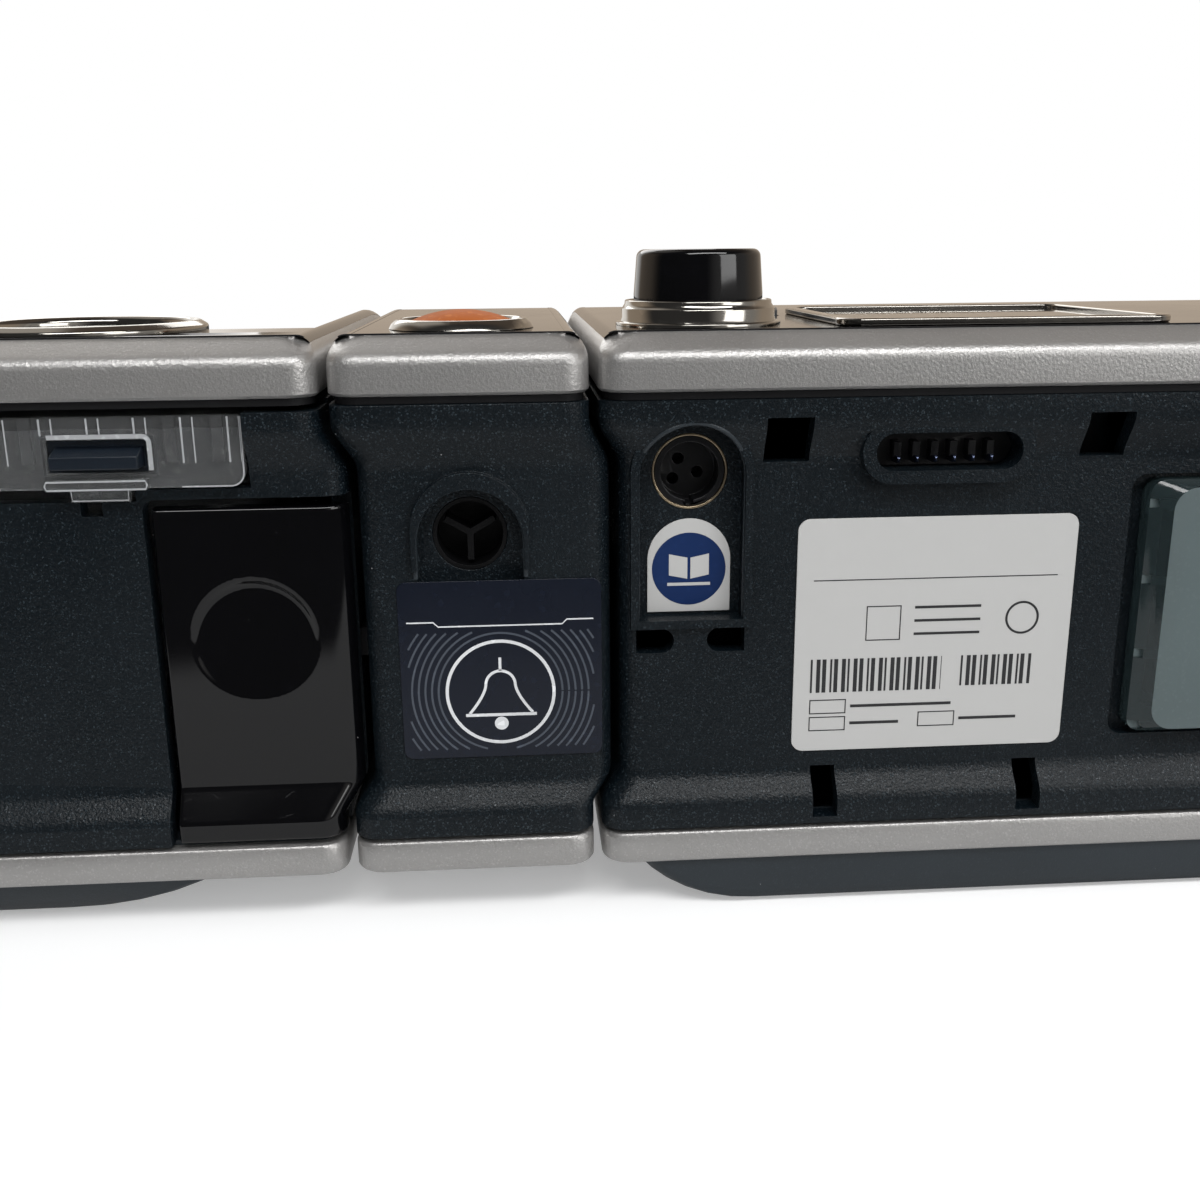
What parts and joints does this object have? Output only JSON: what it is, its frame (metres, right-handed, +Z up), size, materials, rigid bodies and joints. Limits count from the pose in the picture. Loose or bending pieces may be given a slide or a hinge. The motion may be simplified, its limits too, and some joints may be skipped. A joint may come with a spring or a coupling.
{
  "type": "bilevel pap machine",
  "caption": "Bilevel breathing-therapy set: flow unit with dial and display, slim alarm unit and humidifier with hinged lid, docked side by side.",
  "frame": {"origin": "centre of the set's footprint, on the surface that its rubber pads stand on", "axes": "+X along the row of units from the flow unit to the humidifier, +Y to the rear with the sockets, +Z up"},
  "size_m": [0.3188, 0.153, 0.0864],
  "materials": {
    "silver_paint": "satin silver lacquer with a fine metallic speckle",
    "charcoal_shell": "textured moulded plastic",
    "slate_base": "smooth satin moulded plastic",
    "gloss_black": "mirror gloss",
    "chrome_trim": "polished",
    "key_grey": "gloss",
    "brass_ring": "dull",
    "socket_black": "satin",
    "label_white": "satin film",
    "label_navy": "gloss film",
    "display_window": "clear, tinted",
    "display_panel": "dark screen",
    "orange_lens": "translucent gloss",
    "smoky_clear": "translucent teal-grey plastic",
    "clear_plastic": "clear plastic",
    "filter_felt": "non-woven felt",
    "card_blue": "satin",
    "bright_metal": "plain sheet metal",
    "inner_black": "matte",
    "board_green": "solder mask",
    "impeller_white": "satin",
    "heater_metal": "brushed",
    "pad_rubber": "matte",
    "outlet_grey": "satin"
  },
  "bodies": {
    "base": {"main_foot": "slate_base", "main_tray": "slate_base", "main_band": "silver_paint", "main_shell": "charcoal_shell", "main_frame": "silver_paint", "main_facia": "gloss_black", "lcd_bezel": "chrome_trim", "lcd_window": "display_window", "lcd_panel": "display_panel", "dial_collar": "chrome_trim", "dial_encoder": "inner_black", "main_board": "board_green", "power_socket": "socket_black", "power_ring": "brass_ring", "data_port": "socket_black", "rating_label": "label_white", "inlet_sticker": "label_white", "card_reader": "bright_metal", "blower_case": "inner_black", "blower_lid": "inner_black", "blower_motor": "bright_metal", "outlet_duct": "inner_black", "alarm_tray": "slate_base", "alarm_band": "silver_paint", "alarm_shell": "charcoal_shell", "alarm_frame": "silver_paint", "alarm_facia": "gloss_black", "alarm_ring": "chrome_trim", "alarm_socket": "socket_black", "alarm_label": "label_navy", "alarm_board": "board_green", "alarm_duct": "inner_black", "humid_foot": "slate_base", "humid_tray": "slate_base", "humid_band": "silver_paint", "humid_shell": "charcoal_shell", "heater_plate": "heater_metal", "water_tub": "clear_plastic", "tub_cover": "clear_plastic", "tub_latches": "slate_base", "air_outlet": "outlet_grey", "rubber_feet": "pad_rubber", "base_screws": "bright_metal"},
    "dial_press": {"dial_plunger": "inner_black"},
    "dial": {"dial_knob": "gloss_black"},
    "start_key": {"start_key": "key_grey"},
    "setup_key": {"setup_key": "key_grey"},
    "info_key": {"info_key": "key_grey"},
    "alarm_lens": {"alarm_button": "orange_lens"},
    "filter": {"filter_cover": "smoky_clear", "air_filter": "filter_felt"},
    "card": {"memory_card": "card_blue"},
    "rotor": {"impeller": "impeller_white"},
    "release": {"release_panel": "gloss_black", "dock_hook": "inner_black"},
    "lid": {"lid_frame": "silver_paint", "lid_facia": "gloss_black", "lid_ring": "chrome_trim", "lid_pins": "bright_metal"},
    "lid_pad": {"lid_button": "gloss_black"}
  },
  "joints": [
    {"name": "dial_push", "type": "slide", "parent": "base", "child": "dial_press", "axis": [0, 0, -1], "range_m": [0, 0.0008], "stiffness_N_per_m": 2500, "springref_m": -0.0005},
    {"name": "dial_turn", "type": "hinge", "parent": "dial_press", "child": "dial", "pos_m": [-0.0338, 0.0583, 0.0767], "axis": [0, 0, 1], "continuous": true},
    {"name": "start_press", "type": "slide", "parent": "base", "child": "start_key", "axis": [0, 0, -1], "range_m": [0, 0.0008], "stiffness_N_per_m": 1500, "springref_m": -0.0005},
    {"name": "setup_press", "type": "slide", "parent": "base", "child": "setup_key", "axis": [0, 0, -1], "range_m": [0, 0.0008], "stiffness_N_per_m": 1500, "springref_m": -0.0005},
    {"name": "info_press", "type": "slide", "parent": "base", "child": "info_key", "axis": [0, 0, -1], "range_m": [0, 0.0008], "stiffness_N_per_m": 1500, "springref_m": -0.0005},
    {"name": "silence_press", "type": "slide", "parent": "base", "child": "alarm_lens", "axis": [0, 0, -1], "range_m": [0, 0.0008], "stiffness_N_per_m": 1500, "springref_m": -0.0005},
    {"name": "filter_pull", "type": "slide", "parent": "base", "child": "filter", "axis": [0, 1, 0], "range_m": [0, 0.02]},
    {"name": "card_pull", "type": "slide", "parent": "base", "child": "card", "axis": [-1, 0, 0], "range_m": [0, 0.024]},
    {"name": "rotor_spin", "type": "hinge", "parent": "base", "child": "rotor", "pos_m": [-0.1044, -0.0125, 0.03], "axis": [0, 0, 1], "continuous": true},
    {"name": "release_push", "type": "slide", "parent": "base", "child": "release", "axis": [0, -1, 0], "range_m": [0, 0.002], "stiffness_N_per_m": 1500, "springref_m": -0.001},
    {"name": "lid_hinge", "type": "hinge", "parent": "base", "child": "lid", "pos_m": [0.0714, 0.0736, 0.0719], "axis": [-1, 0, 0], "range_deg": [0, 95]},
    {"name": "lid_pad_press", "type": "slide", "parent": "lid", "child": "lid_pad", "axis": [0, 0, -1], "range_m": [0, 0.0008], "stiffness_N_per_m": 1500, "springref_m": -0.0005}
  ]
}
